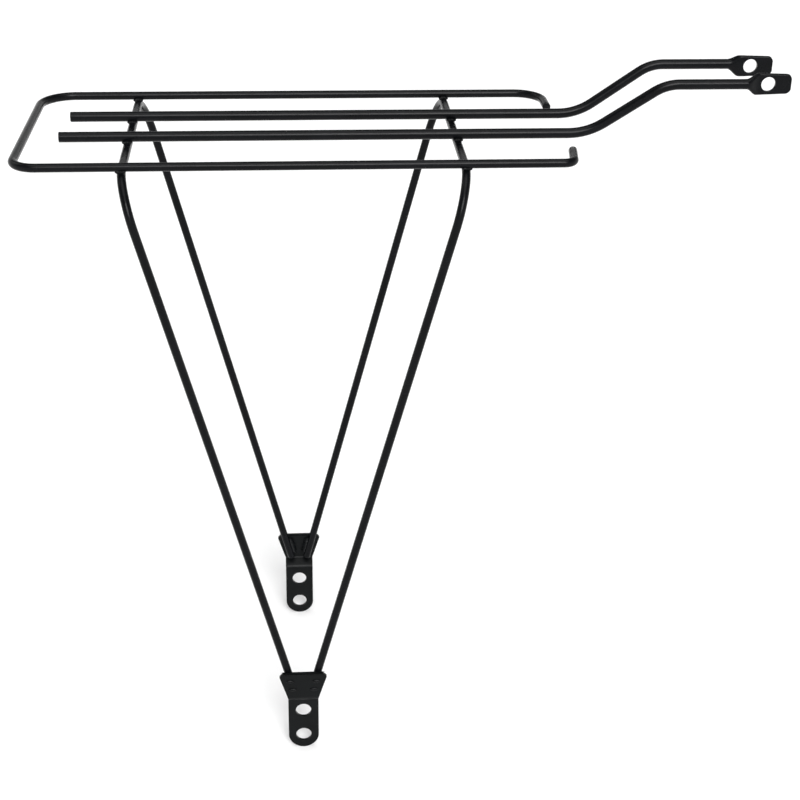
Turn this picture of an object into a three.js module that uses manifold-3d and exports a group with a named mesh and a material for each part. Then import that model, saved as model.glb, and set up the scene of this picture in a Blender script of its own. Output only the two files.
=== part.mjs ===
// A rear rack for a bicycle, made of bent steel rod. One rod is the rim of the platform, two
// rods are its centre rails and run on as stays with flattened, pierced ends, two hoops carry
// the platform, and a stamped plate on each side bolts to the dropouts of the bicycle's frame.
// Everything is welded: each weld is a body of its own, a hair clear of the rods it joins.
//
// Millimetres. X points forward, Y to the left and Z up. The origin is midway between the
// upper eyelets of the two dropout plates.

import * as THREE from "three";
import { mergeVertices } from "three/addons/utils/BufferGeometryUtils.js";
import Module from "manifold-3d";

const wasm = await Module();
wasm.setup();

// ---------------------------------------------------------------- driving dimensions

// Rod diameters.
const RIM_ROD = 5;
const RAIL_ROD = 6;
const HOOP_ROD = 5;

// Platform.
const PLATFORM_WIDTH = 140; // between the axes of the rim's two sides
const REAR_OVERHANG = { right: 156, left: 153.6 }; // ends of the rim's rear bar behind the origin
const RIM_CORNER_BEND = { right: 13.5, left: 20.5 }; // bend radii of the rear corners, on the axis
const RAIL_SPACING = 39.8; // between the axes of the centre rails
const RAIL_SETBACK = 21.6; // rails' cut ends ahead of the rim's rear bar

// Front hooks of the rim: where the side's axis meets the hook's, ahead of the origin, the
// bend radius, the angle turned, and the straight end after the bend.
const HOOK = {
  right: { corner: 156, bend: 6.5, turn: 83, tail: 17.2 },
  left: { corner: 157, bend: 17, turn: 90, tail: 14 },
};

// Hoops. Both are the same bent rod, turned to face each other.
const HOOP_HEIGHT = 361.15; // axis of the crossbars above the upper eyelets
const HOOP_SPACING = 191.3; // between the two crossbars
const HOOP_SHOULDER = 19.5; // corner where crossbar and leg would meet, outside the rim's axis
const HOOP_BEND = 27.5;
const FOOT_WIDTH = 161.6; // between the axes of the right and left feet
const FOOT_SPACING = 19.8; // between front and rear leg at the top edge of a plate
const FOOT_CLEARANCE = 0.6; // lower end of a leg above the start of the plate's joggle
const FOOT_SET_RISE = 4; // height above a plate where the leg turns parallel to it
const FOOT_SET_BEND = 200;

// Stays: the front ends of the centre rails.
const STAY_CORNER = 172; // where the rail leaves the platform, ahead of the origin
const STAY_RUN = 43.8; // from that corner forward to the next, where it levels out
const STAY_RISE = 29.3; // and up
const STAY_LEVEL = 60.8; // from the second corner to the hole in the flattened end
const STAY_SPACING = 44.8; // between the axes of the level stretches
const STAY_BEND = { lower: 37, upper: 26 };

// Flattened stay ends.
const TAB_HOLE = 8.5;
const TAB_SPACING = 40; // between the middle planes of the two tabs
const TAB_HEIGHT = 13;
const TAB_END_HEIGHT = 11.8;
const TAB_THICKNESS = 2.4;
const TAB_REACH = 14; // from the hole's centre to the end
const TAB_CORNER = 2;
const TAB_END_CROWN = 1.1; // how far the end bulges in its middle
const TAB_END_BEND = 12; // radius of the bulge's middle
const TAB_DROP = 0.6; // middle of the tab below the stay's axis
const FLARE_START = 13.5; // before the hole's centre
const FLARE_LENGTH = 8.5;
const FLARE_BEND = 6; // radius where the flare runs out into the tab
const FLARE_SLOPE = 0.84; // growth of the flare's rounding for each millimetre along the stay

// Dropout plates.
const EYELET = 10;
const EYELET_SPACING = 19.4;
const TONGUE_WIDTH = 19.5;
const PLATE_THICKNESS = 2.5;
const PLATE_TOP = 33.5; // upper edge of the head above the upper eyelets
const HEAD_MARGIN = 0.3; // straight upper edge past the legs, at each end
const EAR_WIDTH = 2.4; // ears past the straight upper edge, at each end
const EAR_DROP = 2.5; // ears below the upper edge
const NECK_HEIGHT = 14.2; // above the upper eyelets
const NECK_FILLET = 4;
const EAR_FILLET = 0.8;
const JOGGLE = 6.5; // how far the tongue stands inward of the head
const JOGGLE_BEND = 3; // on the middle plane
const JOGGLE_ANGLE = 55;
const JOGGLE_TOP = 15.8; // above the upper eyelets

// Welds.
const WELD_GAP = 0.1; // between rods that are welded together
const BEAD_GAP = 0.15; // between a bead and the metal it joins
const CROSS_BEAD = { leg: 1, rise: 2.4 }; // past the rods' edges, and half height, at a crossing
const FOOT_BEAD = { radius: 2.5, inset: 1.35, sunk: 0.9 }; // ends inside the lap, axis off the plate
const PLUG_BEAD = { width: 2.7, height: 1.25, proud: 0.9 }; // half width and height, crown
const PLUG_PLACES = { upper: 0.33, lower: 0.7 }; // down the lap of leg and plate, as shares of it

// Fineness.
const ROD_SIDES = 12;
const BEND_STEP = Math.PI / 14; // largest turn between two sections of a bend
const HOLE_SIDES = 28;
const SEAT_ROUNDS = 12; // rounds that settle where the rim rests on a bend
const BEAD_SIDES = 12;
const CUT_MARGIN = 1; // cutters and blanks past the metal

// ---------------------------------------------------------------- derived places

const SIDES = { right: -1, left: 1 };
const ENDS = { rear: -1, front: 1 };

const rimRadius = RIM_ROD / 2;
const railRadius = RAIL_ROD / 2;
const hoopRadius = HOOP_ROD / 2;
const hoopWidth = PLATFORM_WIDTH + 2 * HOOP_SHOULDER;
const railHeight = HOOP_HEIGHT + hoopRadius + WELD_GAP + railRadius;
const stayHeight = railHeight + STAY_RISE;
const holeX = STAY_CORNER + STAY_RUN + STAY_LEVEL;
const flareX = holeX - FLARE_START;
const footEnd = JOGGLE_TOP + FOOT_CLEARANCE;
const footLap = PLATE_TOP - footEnd;
const plateInnerY = FOOT_WIDTH / 2 + hoopRadius + WELD_GAP;
const headMiddleY = plateInnerY + PLATE_THICKNESS / 2;
const tongueMiddleY = headMiddleY - JOGGLE;
const headTop = FOOT_SPACING + HOOP_ROD + 2 * HEAD_MARGIN;
const headWidth = headTop + 2 * EAR_WIDTH;

// The hoops lean along X, and their legs lean inward, so a shoulder turns by more than a right
// angle and its bend starts further in than its own radius.
const hoopLean = Math.atan2((HOOP_SPACING - FOOT_SPACING) / 2, HOOP_HEIGHT - PLATE_TOP);
const legInward = (hoopWidth - FOOT_WIDTH) / 2;
const legLength = (HOOP_HEIGHT - PLATE_TOP - FOOT_SET_RISE) / Math.cos(hoopLean);
const shoulderTurn = Math.PI / 2 + Math.atan2(legInward, legLength);
const bendInset = HOOP_BEND * Math.tan(shoulderTurn / 2);

// The rim rests on that bend. Seen along the rim the bend is an ellipse, as high as its radius
// times the cosine of the hoop's lean. The rim's axis stands off it, along its normal, by both
// rod radii and the gap, at the angle round the bend that brings it to the rim's side.
const rimStandoff = hoopRadius + WELD_GAP + rimRadius;
const rimBeside = Math.max(bendInset - HOOP_SHOULDER, 0);
const seat = { y: 0, z: 1, angle: 0 };
for (let round = 0; round < SEAT_ROUNDS; round++) {
  seat.angle = Math.asin((rimBeside - rimStandoff * seat.y) / HOOP_BEND);
  const normal = Math.hypot(Math.sin(seat.angle) * Math.cos(hoopLean), Math.cos(seat.angle));
  seat.y = (Math.sin(seat.angle) * Math.cos(hoopLean)) / normal;
  seat.z = Math.cos(seat.angle) / normal;
}
const shoulderDrop = HOOP_BEND * Math.cos(hoopLean) * (1 - Math.cos(seat.angle));
const rimHeight = HOOP_HEIGHT - shoulderDrop + rimStandoff * seat.z;

// ---------------------------------------------------------------- solids

const radians = THREE.MathUtils.degToRad;

// A three.js geometry as a solid for cutting and joining.
function toSolid(geometry) {
  const bare = geometry.clone();
  bare.deleteAttribute("normal");
  bare.deleteAttribute("uv");
  const merged = mergeVertices(bare, 1e-4);
  return new wasm.Manifold(
    new wasm.Mesh({
      numProp: 3,
      vertProperties: new Float32Array(merged.attributes.position.array),
      triVerts: new Uint32Array(merged.index.array),
    }),
  );
}

// A cut or joined solid back as a three.js geometry.
function toGeometry(solid) {
  const { vertProperties, triVerts } = solid.getMesh();
  const geometry = new THREE.BufferGeometry();
  geometry.setAttribute("position", new THREE.BufferAttribute(vertProperties, 3));
  geometry.setIndex(new THREE.BufferAttribute(triVerts, 1));
  const flat = geometry.toNonIndexed();
  flat.computeVertexNormals();
  return flat;
}

// Points and directions along straight lines from corner to corner, with every inner corner
// rounded to its own radius.
function bentLine(corners, radii) {
  const legs = corners.slice(1).map((corner, i) => corner.clone().sub(corners[i]).normalize());
  const stations = [{ point: corners[0], tangent: legs[0] }];
  radii.forEach((radius, i) => {
    const before = legs[i];
    const after = legs[i + 1];
    const turn = before.angleTo(after);
    const inward = after.clone().addScaledVector(before, -Math.cos(turn)).normalize();
    const start = corners[i + 1].clone().addScaledVector(before, -radius * Math.tan(turn / 2));
    const steps = Math.max(2, Math.ceil(turn / BEND_STEP));
    for (let k = 0; k <= steps; k++) {
      const angle = (turn * k) / steps;
      stations.push({
        point: start
          .clone()
          .addScaledVector(before, radius * Math.sin(angle))
          .addScaledVector(inward, radius * (1 - Math.cos(angle))),
        tangent: before
          .clone()
          .multiplyScalar(Math.cos(angle))
          .addScaledVector(inward, Math.sin(angle)),
      });
    }
  });
  stations.push({ point: corners.at(-1), tangent: legs.at(-1) });
  return stations;
}

// The axis of a bent rod, as a curve whose evenly spaced parameters are its stations.
class RodAxis extends THREE.Curve {
  constructor(corners, radii) {
    super();
    this.stations = bentLine(corners, radii);
  }
  getUtoTmapping(u) {
    return u;
  }
  station(t) {
    return this.stations[Math.round(t * (this.stations.length - 1))];
  }
  getPoint(t, target = new THREE.Vector3()) {
    return target.copy(this.station(t).point);
  }
  getTangent(t, target = new THREE.Vector3()) {
    return target.copy(this.station(t).tangent);
  }
}

function rod(axis, radius) {
  const section = [];
  for (let i = 0; i < ROD_SIDES; i++) {
    const angle = (2 * Math.PI * i) / ROD_SIDES;
    section.push(new THREE.Vector2(radius * Math.cos(angle), radius * Math.sin(angle)));
  }
  return new THREE.ExtrudeGeometry(new THREE.Shape(section), {
    steps: axis.stations.length - 1,
    extrudePath: axis,
  });
}

// A flat outline through corners [x, y, fillet radius].
function filletedShape(corners) {
  const points = corners.map(([x, y]) => new THREE.Vector3(x, y, 0));
  const middle = points[0].clone().lerp(points.at(-1), 0.5);
  const closed = [middle, ...points, middle.clone()];
  const stations = bentLine(closed, corners.map((corner) => corner[2] ?? 0));
  const outline = stations.slice(1, -1).map(({ point }) => new THREE.Vector2(point.x, point.y));
  const apart = outline.filter((p, i) => i === 0 || p.distanceTo(outline[i - 1]) > 1e-4);
  return new THREE.Shape(apart);
}

// A round cutter through the whole width of the rack.
function crossDrill(x, z, diameter) {
  const drill = new THREE.CylinderGeometry(
    diameter / 2,
    diameter / 2,
    2 * (Math.max(plateInnerY, STAY_SPACING) + PLATE_THICKNESS + CUT_MARGIN),
    HOLE_SIDES,
  );
  return toSolid(drill.translate(x, 0, z));
}

// An outline drawn in X and Z, made a solid between two values of Y.
function slabAlongY(shape, lowY, highY) {
  const geometry = new THREE.ExtrudeGeometry(shape, { depth: highY - lowY, bevelEnabled: false });
  return geometry.rotateX(Math.PI / 2).translate(0, highY, 0);
}

// ---------------------------------------------------------------- the bent rods

// The rim is one open loop: right hook, right side, rear bar, left side, left hook.
function hookCorners(name) {
  const { corner, bend, turn, tail } = HOOK[name];
  const y = (SIDES[name] * PLATFORM_WIDTH) / 2;
  const length = bend * Math.tan(radians(turn) / 2) + tail;
  return [
    new THREE.Vector3(
      corner + length * Math.cos(radians(turn)),
      y - SIDES[name] * length * Math.sin(radians(turn)),
      rimHeight,
    ),
    new THREE.Vector3(corner, y, rimHeight),
  ];
}

function rimAxis() {
  const rear = (name) =>
    new THREE.Vector3(-REAR_OVERHANG[name], (SIDES[name] * PLATFORM_WIDTH) / 2, rimHeight);
  return new RodAxis(
    [...hookCorners("right"), rear("right"), rear("left"), ...hookCorners("left").reverse()],
    [HOOK.right.bend, RIM_CORNER_BEND.right, RIM_CORNER_BEND.left, HOOK.left.bend],
  );
}

function railAxis(name) {
  const side = SIDES[name];
  const railY = (side * RAIL_SPACING) / 2;
  const stayY = (side * STAY_SPACING) / 2;
  return new RodAxis(
    [
      new THREE.Vector3(RAIL_SETBACK - REAR_OVERHANG[name], railY, railHeight),
      new THREE.Vector3(STAY_CORNER, railY, railHeight),
      new THREE.Vector3(STAY_CORNER + STAY_RUN, stayY, stayHeight),
      new THREE.Vector3(flareX + CUT_MARGIN, stayY, stayHeight),
    ],
    [STAY_BEND.lower, STAY_BEND.upper],
  );
}

// X of a leg's axis at height z: straight from the crossbar down past the plate's upper edge.
function legX(end, z) {
  const top = (end * HOOP_SPACING) / 2;
  const foot = (end * FOOT_SPACING) / 2;
  return top + ((foot - top) * (HOOP_HEIGHT - z)) / (HOOP_HEIGHT - PLATE_TOP);
}

function hoopAxis(name) {
  const end = ENDS[name];
  const setHeight = PLATE_TOP + FOOT_SET_RISE;
  const leg = (side) => [
    new THREE.Vector3(legX(end, footEnd), (side * FOOT_WIDTH) / 2, footEnd),
    new THREE.Vector3(legX(end, setHeight), (side * FOOT_WIDTH) / 2, setHeight),
    new THREE.Vector3(legX(end, HOOP_HEIGHT), (side * hoopWidth) / 2, HOOP_HEIGHT),
  ];
  return new RodAxis(
    [...leg(SIDES.right), ...leg(SIDES.left).reverse()],
    [FOOT_SET_BEND, HOOP_BEND, HOOP_BEND, FOOT_SET_BEND],
  );
}

// ---------------------------------------------------------------- flattened stay ends

// Side view: the rod's height at the flare's start, the full height past it, a crowned end.
function tabOutline() {
  const full = flareX + FLARE_LENGTH;
  const end = holeX + TAB_REACH;
  const middle = stayHeight - TAB_DROP;
  return filletedShape([
    [flareX, stayHeight - railRadius, 0],
    [flareX, stayHeight + railRadius, 0],
    [full, middle + TAB_HEIGHT / 2, FLARE_BEND],
    [end - TAB_END_CROWN, middle + TAB_END_HEIGHT / 2, TAB_CORNER],
    [end, middle, TAB_END_BEND],
    [end - TAB_END_CROWN, middle - TAB_END_HEIGHT / 2, TAB_CORNER],
    [full, middle - TAB_HEIGHT / 2, FLARE_BEND],
  ]);
}

// Top view: as thick as the rod at the flare's start, thin and set inward past it.
function tabThickness(side) {
  const full = flareX + FLARE_LENGTH;
  const end = holeX + TAB_REACH + CUT_MARGIN;
  const stayY = STAY_SPACING / 2;
  const tabY = TAB_SPACING / 2;
  const half = TAB_THICKNESS / 2;
  return filletedShape(
    [
      [flareX, stayY - railRadius, 0],
      [full, tabY - half, FLARE_BEND],
      [end, tabY - half, 0],
      [end, tabY + half, 0],
      [full, tabY + half, FLARE_BEND],
      [flareX, stayY + railRadius, 0],
    ].map(([x, y, r]) => [x, side * y, r]),
  );
}

// A cone about the stay's axis that rounds the flare off where it leaves the rod.
function flareCone(side) {
  const length = FLARE_START + TAB_REACH + CUT_MARGIN;
  const coneLength = (TAB_HEIGHT - railRadius) / FLARE_SLOPE;
  const cone = new THREE.LatheGeometry(
    [
      new THREE.Vector2(0, 0),
      new THREE.Vector2(railRadius, 0),
      new THREE.Vector2(TAB_HEIGHT, coneLength),
      new THREE.Vector2(TAB_HEIGHT, length),
      new THREE.Vector2(0, length),
    ],
    2 * ROD_SIDES,
  );
  return cone.rotateZ(-Math.PI / 2).translate(flareX, (side * STAY_SPACING) / 2, stayHeight);
}

function stayTab(side) {
  const plan = new THREE.ExtrudeGeometry(tabThickness(side), {
    depth: 2 * TAB_HEIGHT,
    bevelEnabled: false,
  }).translate(0, 0, stayHeight - TAB_HEIGHT);
  const reach = STAY_SPACING / 2 + RAIL_ROD;
  return toSolid(slabAlongY(tabOutline(), -reach, reach))
    .intersect(toSolid(plan))
    .intersect(toSolid(flareCone(side)))
    .subtract(crossDrill(holeX, stayHeight - TAB_DROP, TAB_HOLE));
}

function centreRail(name) {
  return toGeometry(toSolid(rod(railAxis(name), railRadius)).add(stayTab(SIDES[name])));
}

// ---------------------------------------------------------------- dropout plates

function plateOutline() {
  const tongue = TONGUE_WIDTH / 2;
  const roundEnd = tongue - 0.01; // just short of a half circle, so that the outline stays open
  const right = [
    [headTop / 2, PLATE_TOP, EAR_FILLET],
    [headWidth / 2, PLATE_TOP - EAR_DROP, EAR_FILLET],
    [tongue, NECK_HEIGHT, NECK_FILLET],
    [tongue, -EYELET_SPACING - tongue, roundEnd],
  ];
  const left = right.map(([x, z, r]) => [-x, z, r]).reverse();
  return filletedShape([...right, ...left]);
}

// Side view, in Y and Z: the head, the joggle's two bends and the tongue, one sheet thick.
function plateProfile(side) {
  const angle = radians(JOGGLE_ANGLE);
  const upperCorner = JOGGLE_TOP - JOGGLE_BEND * Math.tan(angle / 2);
  const lowerCorner = upperCorner - JOGGLE / Math.tan(angle);
  const high = PLATE_TOP + CUT_MARGIN;
  const low = -EYELET_SPACING - TONGUE_WIDTH / 2 - CUT_MARGIN;
  const half = PLATE_THICKNESS / 2;
  const shift = half * Math.tan(angle / 2);
  const face = (out) => [
    [headMiddleY + out * half, high, 0],
    [headMiddleY + out * half, upperCorner - out * shift, JOGGLE_BEND + out * half],
    [tongueMiddleY + out * half, lowerCorner - out * shift, JOGGLE_BEND - out * half],
    [tongueMiddleY + out * half, low, 0],
  ];
  const corners = [...face(1), ...face(-1).reverse()];
  return filletedShape(corners.map(([y, z, r]) => [side * y, z, r]));
}

function dropoutPlate(side) {
  const reach = plateInnerY + PLATE_THICKNESS + CUT_MARGIN;
  const front = slabAlongY(plateOutline(), -reach, reach);
  const blankWidth = headWidth + 2 * CUT_MARGIN;
  const sheet = new THREE.ExtrudeGeometry(plateProfile(side), {
    depth: blankWidth,
    bevelEnabled: false,
  });
  const toYZ = new THREE.Matrix4().makeBasis(
    new THREE.Vector3(0, 1, 0),
    new THREE.Vector3(0, 0, 1),
    new THREE.Vector3(1, 0, 0),
  );
  sheet.applyMatrix4(toYZ).translate(-blankWidth / 2, 0, 0);
  return toSolid(front)
    .intersect(toSolid(sheet))
    .subtract(crossDrill(0, 0, EYELET))
    .subtract(crossDrill(0, -EYELET_SPACING, EYELET));
}

// ---------------------------------------------------------------- weld beads

function blob(x, y, z, halfX, halfY, halfZ) {
  return new THREE.SphereGeometry(1, BEAD_SIDES, BEAD_SIDES / 2 + 2)
    .rotateX(Math.PI / 2)
    .scale(halfX, halfY, halfZ)
    .translate(x, y, z);
}

// The fillet round the place where an upper rod lies across a hoop.
function crossBead(x, y, z, upperRadius, upper, hoop) {
  const halfX = hoopRadius + CROSS_BEAD.leg;
  const halfY = upperRadius + CROSS_BEAD.leg;
  const bead = blob(x, y, z, halfX, halfY, CROSS_BEAD.rise);
  return toSolid(bead).subtract(upper).subtract(hoop);
}

function railBead(end, side, rail, hoop) {
  const z = HOOP_HEIGHT + hoopRadius + WELD_GAP / 2;
  return crossBead((end * HOOP_SPACING) / 2, (side * RAIL_SPACING) / 2, z, railRadius, rail, hoop);
}

function rimBead(end, side, rim, hoop) {
  const inward = rimRadius + WELD_GAP / 2;
  const y = side * (PLATFORM_WIDTH / 2 - inward * seat.y);
  const z = rimHeight - inward * seat.z;
  return crossBead((end * HOOP_SPACING) / 2, y, z, rimRadius, rim, hoop);
}

// The fillet along a foot, on the side that faces the other foot, which limits its radius.
function footBead(end, side, hoop, plate) {
  const z = (PLATE_TOP + footEnd) / 2;
  const lean = Math.atan2(legX(end, PLATE_TOP) - legX(end, footEnd), footLap);
  const room = Math.abs(legX(end, footEnd)) - hoopRadius - BEAD_GAP;
  const radius = Math.min(FOOT_BEAD.radius, room);
  const straight = footLap - 2 * (FOOT_BEAD.inset + radius);
  const bead = new THREE.CapsuleGeometry(radius, straight, 3, BEAD_SIDES)
    .rotateX(Math.PI / 2)
    .rotateY(lean)
    .translate(legX(end, z) - end * hoopRadius, side * (plateInnerY - FOOT_BEAD.sunk), z);
  const depth = 2 * FOOT_BEAD.radius;
  const face = side * (plateInnerY - BEAD_GAP + depth / 2);
  const behindFace = new THREE.BoxGeometry(headWidth, depth, 2 * footLap).translate(0, face, z);
  return toSolid(bead).subtract(hoop).subtract(toSolid(behindFace)).subtract(plate);
}

// The crown of a plug weld on the plate's outer face, over a foot.
function plugBead(end, side, place) {
  const z = PLATE_TOP - place * footLap;
  const x = legX(end, z);
  const outerY = plateInnerY + PLATE_THICKNESS;
  const { width, height, proud } = PLUG_BEAD;
  const underFace = new THREE.BoxGeometry(4 * width, 2 * proud, 4 * height);
  underFace.translate(x, side * (outerY + BEAD_GAP - proud), z);
  return toSolid(blob(x, side * outerY, z, width, proud, height)).subtract(toSolid(underFace));
}

// ---------------------------------------------------------------- assembly

function paint(color, roughness) {
  return new THREE.MeshStandardMaterial({ color, roughness, metalness: 0.1 });
}

const rack = new THREE.Group();

function part(name, geometry, material) {
  const mesh = new THREE.Mesh(geometry, material);
  mesh.name = name;
  rack.add(mesh);
}

const rodPaint = () => paint(0x17181a, 0.3);
const platePaint = () => paint(0x1b1c1f, 0.42);
const weldPaint = () => paint(0x202124, 0.5);

part("platform_rim", rod(rimAxis(), rimRadius), rodPaint());

for (const name of Object.keys(SIDES)) {
  part(`centre_rail_${name}`, centreRail(name), rodPaint());
}

for (const name of Object.keys(ENDS)) {
  part(`${name}_hoop`, rod(hoopAxis(name), hoopRadius), rodPaint());
}

const plates = {};
for (const [name, side] of Object.entries(SIDES)) {
  plates[name] = dropoutPlate(side);
  part(`dropout_plate_${name}`, toGeometry(plates[name]), platePaint());
}

// Rods a little thicker than the real ones, which cut the beads clear of the metal.
const rimCut = toSolid(rod(rimAxis(), rimRadius + BEAD_GAP));
const hoopCut = {
  rear: toSolid(rod(hoopAxis("rear"), hoopRadius + BEAD_GAP)),
  front: toSolid(rod(hoopAxis("front"), hoopRadius + BEAD_GAP)),
};
const railCut = {
  right: toSolid(rod(railAxis("right"), railRadius + BEAD_GAP)),
  left: toSolid(rod(railAxis("left"), railRadius + BEAD_GAP)),
};

for (const [endName, end] of Object.entries(ENDS)) {
  const hoop = hoopCut[endName];
  for (const [sideName, side] of Object.entries(SIDES)) {
    const beads = {
      [`weld_${endName}_hoop_rail_${sideName}`]: railBead(end, side, railCut[sideName], hoop),
      [`weld_${endName}_hoop_rim_${sideName}`]: rimBead(end, side, rimCut, hoop),
      [`weld_${endName}_foot_${sideName}`]: footBead(end, side, hoop, plates[sideName]),
    };
    for (const [level, place] of Object.entries(PLUG_PLACES)) {
      beads[`plug_weld_${endName}_${sideName}_${level}`] = plugBead(end, side, place);
    }
    for (const [name, bead] of Object.entries(beads)) {
      part(name, toGeometry(bead), weldPaint());
    }
  }
}

export default rack;
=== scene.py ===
"""The finished look of a welded rear rack for a bicycle, built round its packed frame.

The rack is gloss black enamel on bent steel rod, flattened stay ends, two joggled dropout
plates and their weld beads. Metres, X forward, Y to the bicycle's left, Z up.
"""

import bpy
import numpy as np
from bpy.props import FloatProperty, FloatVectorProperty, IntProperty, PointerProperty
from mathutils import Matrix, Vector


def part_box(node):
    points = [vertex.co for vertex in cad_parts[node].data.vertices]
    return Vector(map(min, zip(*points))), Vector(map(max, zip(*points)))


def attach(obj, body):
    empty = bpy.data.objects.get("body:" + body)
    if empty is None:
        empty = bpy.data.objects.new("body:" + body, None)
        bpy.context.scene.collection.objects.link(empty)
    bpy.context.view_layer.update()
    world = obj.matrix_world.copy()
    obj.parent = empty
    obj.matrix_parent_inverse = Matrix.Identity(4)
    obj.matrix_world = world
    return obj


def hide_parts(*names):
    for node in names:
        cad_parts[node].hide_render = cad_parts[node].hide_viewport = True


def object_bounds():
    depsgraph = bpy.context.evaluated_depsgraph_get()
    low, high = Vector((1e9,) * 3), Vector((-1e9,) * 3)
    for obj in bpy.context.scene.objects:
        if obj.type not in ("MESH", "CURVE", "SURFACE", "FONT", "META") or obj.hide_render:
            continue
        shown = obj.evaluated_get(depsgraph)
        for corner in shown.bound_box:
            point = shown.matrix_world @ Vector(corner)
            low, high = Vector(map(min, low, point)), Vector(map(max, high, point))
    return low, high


bl_info = {
    "name": "Rear Rack",
    "version": (1, 0, 0),
    "blender": (4, 5, 0),
    "location": "View3D > Sidebar > Rear Rack",
    "description": "Builds the enamelled rods, plates and welds of a bicycle's rear rack",
    "category": "Add Mesh",
}

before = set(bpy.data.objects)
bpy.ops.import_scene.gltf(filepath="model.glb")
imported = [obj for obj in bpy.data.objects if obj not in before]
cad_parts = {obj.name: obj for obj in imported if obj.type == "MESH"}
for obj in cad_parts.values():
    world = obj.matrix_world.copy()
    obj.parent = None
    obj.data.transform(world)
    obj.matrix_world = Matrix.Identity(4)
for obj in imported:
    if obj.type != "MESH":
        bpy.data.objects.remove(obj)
CAD_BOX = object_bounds()

SIDES = {"right": -1.0, "left": 1.0}
ENDS = {"rear": -1.0, "front": 1.0}
BODY = "root"
X, Y, Z = np.eye(3)


# ---------------------------------------------------------------- places from the frame


def corners(node):
    """Lowest and highest corner of a node's box, as arrays."""
    low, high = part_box(node)
    return np.array(low), np.array(high)


RIM_LOW, RIM_HIGH = corners("platform_rim")
HOOP_LOW, HOOP_HIGH = corners("rear_hoop")
RAIL_LOW, RAIL_HIGH = corners("centre_rail_right")
PLATE_LOW, PLATE_HIGH = corners("dropout_plate_right")

END_SHARE = 0.6  # size of the ring that keeps a cut flat, against the cut
TAB_ROUND = 0.0003  # rounding of a tab's edges and of its hole
TAB_STATION = 0.0005  # between two sections of a tab
CROWN_LENGTH = 0.006  # length over which a tip's crown grows
FOOT_SUNK = 0.0009  # foot bead's axis off the plate's face
FOOT_END = 0.3  # how far a foot bead's axis stops short of its node, in radii
FOOT_FLAT = 0.92  # height of a foot bead against its width
FLOOR_HALF = 60.0  # half the floor's width

# Name, azimuth, elevation and spread in degrees, and strength.
SOFTBOXES = (
    ("front_softbox", 8.0, 37.0, 32.0, 3.1),
    ("overhead_softbox", 15.0, 84.0, 50.0, 1.3),
    ("rear_softbox", 238.0, 41.0, 30.0, 0.35),
)

RIM_RADIUS = float(RIM_HIGH[2] - RIM_LOW[2]) / 2
RIM_HEIGHT = float(RIM_HIGH[2] + RIM_LOW[2]) / 2
RIM_SIDE = float(RIM_HIGH[1]) - RIM_RADIUS
REAR_BAR = -float(RIM_LOW[0]) - RIM_RADIUS


# ---------------------------------------------------------------- sizes


def length(name, description, default):
    """A size in metres that a user may change."""
    return FloatProperty(
        name=name, description=description, default=default, precision=5, min=0.0, unit="LENGTH"
    )


def turn(name, description, degrees):
    """An angle that a user may change."""
    return FloatProperty(
        name=name, description=description, default=np.radians(degrees), subtype="ANGLE"
    )


class RackRods(bpy.types.PropertyGroup):
    """Rod sizes and how finely the rods are drawn."""

    rim_radius: length("Rim radius", "Radius of the platform rim's rod", RIM_RADIUS)
    hoop_radius: length("Hoop radius", "Radius of the hoops' rod", 0.0025)
    rail_radius: length("Rail radius", "Radius of the centre rails' rod", 0.003)
    end_round: length("End rounding", "Rounding of a rod's cut end", 0.00045)
    station: length("Station spacing", "Longest stretch between two sections", 0.006)
    bend_step: turn("Bend step", "Largest turn between two sections", 4.0)
    flatten: FloatProperty(
        name="Bend flattening", description="Share that a bend flattens the rod by", default=0.12
    )
    around: IntProperty(name="Sides", description="Points round a rod", default=40, min=12)


class RackPlatform(bpy.types.PropertyGroup):
    """Rim of the platform: rear corners and front hooks."""

    half_width: length("Half width", "From the middle to a side's axis", RIM_SIDE)
    height: length("Height", "Axis of the rim above the upper eyelets", RIM_HEIGHT)
    rear_right: length("Rear right", "Right end of the rear bar behind the origin", REAR_BAR)
    rear_left: length("Rear left", "Left end of the rear bar behind the origin", 0.1536)
    bend_right: length("Right corner", "Bend radius of the right rear corner", 0.0135)
    bend_left: length("Left corner", "Bend radius of the left rear corner", 0.0205)
    hook_right: length("Right hook", "Corner of the right hook ahead of the origin", 0.156)
    hook_right_bend: length("Right hook bend", "Bend radius of the right hook", 0.0065)
    hook_right_turn: turn("Right hook turn", "Angle that the right hook turns", 83.0)
    hook_right_tail: length("Right hook tail", "Straight end after the bend", 0.0172)
    hook_left: length("Left hook", "Corner of the left hook ahead of the origin", 0.157)
    hook_left_bend: length("Left hook bend", "Bend radius of the left hook", 0.017)
    hook_left_turn: turn("Left hook turn", "Angle that the left hook turns", 90.0)
    hook_left_tail: length("Left hook tail", "Straight end after the bend", 0.014)


class RackHoops(bpy.types.PropertyGroup):
    """The two hoops, with their legs and feet."""

    spacing: length("Crossbars apart", "Between the axes of the two crossbars", 0.1913)
    shoulder: length("Shoulder", "Corner of crossbar and leg outside the rim's axis", 0.0195)
    bend: length("Shoulder bend", "Bend radius of the shoulders", 0.0275)
    foot_width: length("Feet across", "Between the axes of right and left feet", 0.1616)
    foot_spacing: length("Feet apart", "Between two legs at a plate's upper edge", 0.0198)
    set_rise: length("Set rise", "Height above a plate where a leg turns upright", 0.004)
    set_bend: length("Set bend", "Bend radius of that turn", 0.2)


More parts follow.
